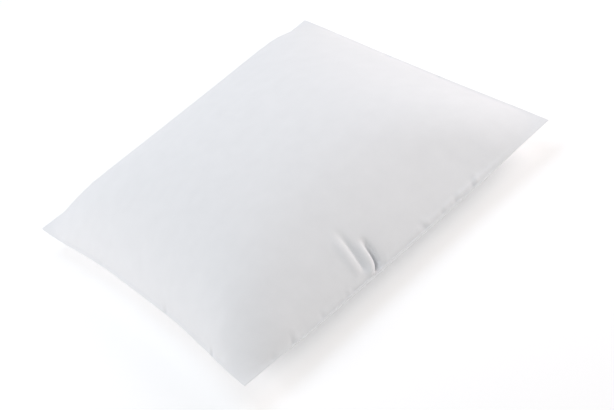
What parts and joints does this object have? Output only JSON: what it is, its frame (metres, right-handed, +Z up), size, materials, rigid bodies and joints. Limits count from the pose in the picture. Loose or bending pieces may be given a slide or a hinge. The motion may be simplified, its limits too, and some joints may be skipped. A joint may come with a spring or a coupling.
{
  "type": "bed pillow",
  "caption": "Plump, nearly square bed pillow: sewn white cotton cover zipped along one side, inner case, fibre fill.",
  "frame": {"origin": "on the floor under the middle of the pillow as it lies flat", "axes": "+Z up through the crown; +X along the zipped side; +Y from the plain long seam towards the zipped side"},
  "size_m": [0.582, 0.609, 0.15],
  "materials": {
    "cover_cotton": "matte",
    "inner_case_cloth": "matte",
    "polyester_fibre": "matte",
    "zip_tape_weave": "matte",
    "zip_coil_nylon": "satin",
    "zip_metal": "satin",
    "label_satin": "satin"
  },
  "bodies": {
    "pillow": {"cover_top": "cover_cotton", "cover_bottom": "cover_cotton", "inner_case_top": "inner_case_cloth", "inner_case_bottom": "inner_case_cloth", "fibre_fill": "polyester_fibre", "zip_tape_upper": "zip_tape_weave", "zip_tape_lower": "zip_tape_weave", "zip_coil_upper": "zip_coil_nylon", "zip_coil_lower": "zip_coil_nylon", "zip_top_stop_upper": "zip_metal", "zip_top_stop_lower": "zip_metal", "zip_bottom_stop": "zip_metal", "care_label": "label_satin"},
    "slider": {"zip_slider": "zip_metal"},
    "pull": {"zip_pull": "zip_metal"}
  },
  "joints": [
    {"name": "zip_slide", "type": "slide", "parent": "pillow", "child": "slider", "axis": [-1, 0, 0], "range_m": [0, 0.334]},
    {"name": "pull_swing", "type": "hinge", "parent": "slider", "child": "pull", "pos_m": [0.1673, 0.2963, 0.042], "axis": [0, 0, -1], "range_deg": [0, 165]}
  ]
}
